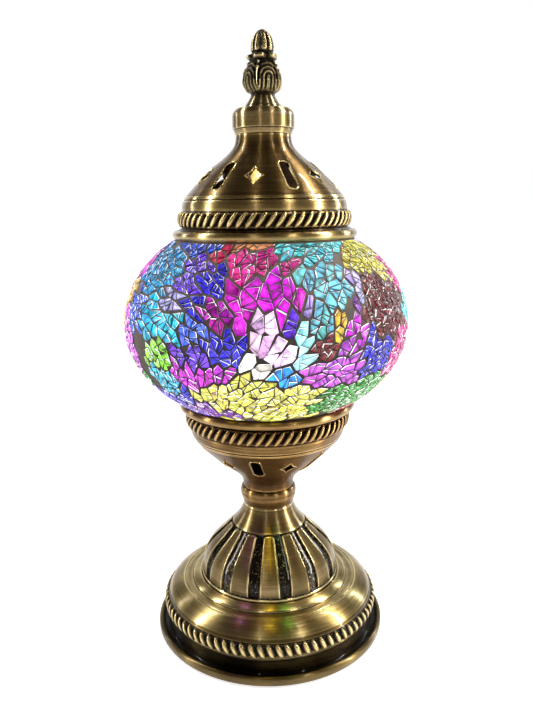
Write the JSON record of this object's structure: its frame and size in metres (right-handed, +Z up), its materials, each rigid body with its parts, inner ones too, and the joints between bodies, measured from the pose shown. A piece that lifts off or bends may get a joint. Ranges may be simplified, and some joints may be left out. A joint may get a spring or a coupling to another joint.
{
  "type": "table lamp",
  "caption": "Table lamp with a round mosaic glass globe between a vented brass bowl and lid, on a fluted pedestal and spun foot, with a lift-off lid and a screw-in bulb.",
  "frame": {"origin": "centre of the felt underside, on the lamp's axis", "axes": "+Z up along the lamp's axis, -Y is the front, +Y is the back where the cord enters"},
  "size_m": [0.1632, 0.1632, 0.349],
  "materials": {
    "felt": "dense black-green felt",
    "zinc_steel": "zinc-plated steel",
    "antique_brass": "antiqued brass sheet, dark in its recesses and rubbed bright on its ridges",
    "cast_brass": "antiqued cast brass, dark in its recesses and rubbed bright on its ridges",
    "black_rubber": "matt moulded rubber",
    "spring_steel": "blued spring steel",
    "clear_glass": "clear blown glass",
    "grout": "grey-brown cement grout",
    "holder_plastic": "black moulded phenolic",
    "insert_ceramic": "glazed steatite",
    "contact_brass": "bright nickel-free contact brass",
    "nickel_cap": "nickel-plated cap",
    "solder": "dull solder",
    "vitrite": "black glass insulator",
    "bulb_glass": "warm frosted bulb glass",
    "filament": "yellow phosphor filament",
    "tiles_clear": "clear pearly crackled glass chips",
    "tiles_deep_blue": "deep blue crackled glass chips",
    "tiles_green": "green crackled glass chips",
    "tiles_indigo": "indigo crackled glass chips",
    "tiles_magenta": "magenta crackled glass chips",
    "tiles_orange": "orange crackled glass chips",
    "tiles_red": "crimson crackled glass chips",
    "tiles_turquoise": "turquoise crackled glass chips",
    "tiles_violet": "violet crackled glass chips",
    "tiles_yellow": "yellow crackled glass chips"
  },
  "bodies": {
    "root": {"felt_pad": "felt", "bottom_cover": "zinc_steel", "base_shell": "antique_brass", "cord_grommet": "black_rubber", "pedestal": "cast_brass", "bowl": "antique_brass", "bowl_collar": "cast_brass", "glass_globe": "clear_glass", "grout_layer": "grout", "globe_gasket": "black_rubber", "lamp_tube": "zinc_steel", "base_washer": "zinc_steel", "base_nut": "zinc_steel", "bowl_washer": "zinc_steel", "bowl_nut": "zinc_steel", "holder_cap": "holder_plastic", "holder_skirt": "holder_plastic", "holder_insert": "insert_ceramic", "screw_shell": "contact_brass", "centre_contact": "contact_brass", "terminal_screws": "contact_brass", "tiles_clear": "tiles_clear", "tiles_deep_blue": "tiles_deep_blue", "tiles_green": "tiles_green", "tiles_indigo": "tiles_indigo", "tiles_magenta": "tiles_magenta", "tiles_orange": "tiles_orange", "tiles_red": "tiles_red", "tiles_turquoise": "tiles_turquoise", "tiles_violet": "tiles_violet", "tiles_yellow": "tiles_yellow"},
    "lid": {"lid_dome": "antique_brass", "lid_collar": "cast_brass", "lid_spring": "spring_steel", "lid_washer": "zinc_steel", "lid_nut": "zinc_steel", "lid_stud": "zinc_steel", "finial": "cast_brass"},
    "bulb_carrier": {"bulb_tip": "solder"},
    "bulb": {"bulb_glass": "bulb_glass", "bulb_cap": "nickel_cap", "bulb_insulator": "vitrite", "bulb_stem": "clear_glass", "bulb_filaments": "filament"}
  },
  "joints": [
    {"name": "lid_lift", "type": "slide", "parent": "root", "child": "lid", "axis": [0, 0, 1], "range_m": [0, 0.08]},
    {"name": "bulb_rise", "type": "slide", "parent": "root", "child": "bulb_carrier", "axis": [0, 0, 1], "range_m": [0, 0.0142]},
    {"name": "bulb_turn", "type": "hinge", "parent": "bulb_carrier", "child": "bulb", "pos_m": [0, 0, 0.13], "axis": [0, 0, 1], "range_deg": [0, 1800]}
  ],
  "couplings": [
    {"joint": "bulb_rise", "follows": "bulb_turn", "m_per_rad": 0.00044882}
  ]
}
